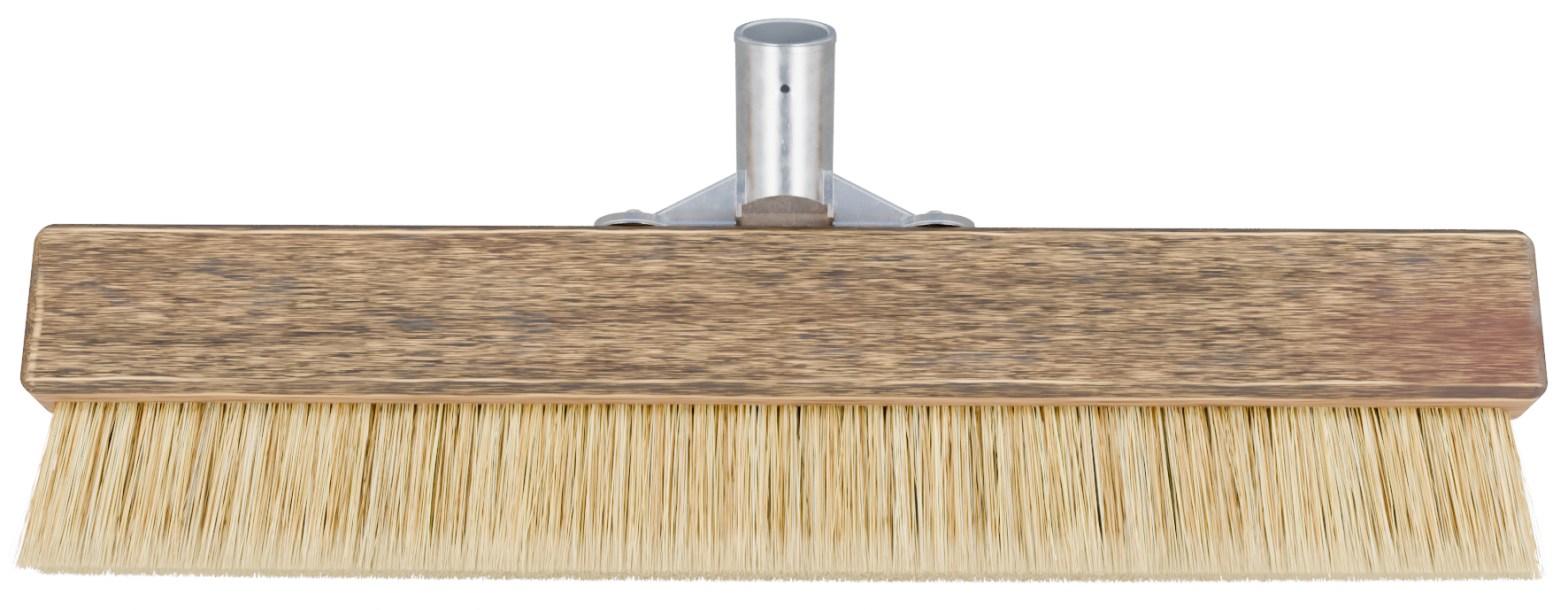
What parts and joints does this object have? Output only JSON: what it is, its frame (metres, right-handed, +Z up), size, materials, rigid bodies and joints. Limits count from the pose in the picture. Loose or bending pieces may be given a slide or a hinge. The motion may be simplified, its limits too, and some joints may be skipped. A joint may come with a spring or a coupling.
{
  "type": "push broom head",
  "caption": "Push broom head: long wooden block on edge, rows of natural bristle tufts in its underside, and a cast holder on top with a forward-leaning handle socket.",
  "frame": {"origin": "centre of the plane of the trimmed bristle tips, below the middle of the wooden block", "axes": "+X along the block, -Y towards the front that the handle socket leans over, +Z up from the tips to the holder"},
  "size_m": [0.5, 0.0754, 0.1828],
  "materials": {
    "stained_wood": "dark stained, worn through along the edges",
    "cast_aluminium": "bright die-cast, lightly scratched",
    "zinc_steel": "yellow zinc-plated steel",
    "staple_wire": "bright flat wire",
    "natural_bristle": "straight natural bristle, straw yellow with pale and brown hairs"
  },
  "bodies": {
    "root": {"broom_block": "stained_wood", "handle_holder": "cast_aluminium", "holder_screws": "zinc_steel", "front_staples": "staple_wire", "rear_staples": "staple_wire", "front_tufts_01": "natural_bristle", "front_tufts_02": "natural_bristle", "front_tufts_03": "natural_bristle", "front_tufts_04": "natural_bristle", "front_tufts_05": "natural_bristle", "front_tufts_06": "natural_bristle", "front_tufts_07": "natural_bristle", "front_tufts_08": "natural_bristle", "front_tufts_09": "natural_bristle", "front_tufts_10": "natural_bristle", "rear_tufts_01": "natural_bristle", "rear_tufts_02": "natural_bristle", "rear_tufts_03": "natural_bristle", "rear_tufts_04": "natural_bristle", "rear_tufts_05": "natural_bristle", "rear_tufts_06": "natural_bristle", "rear_tufts_07": "natural_bristle", "rear_tufts_08": "natural_bristle", "rear_tufts_09": "natural_bristle", "rear_tufts_10": "natural_bristle"}
  },
  "joints": []
}
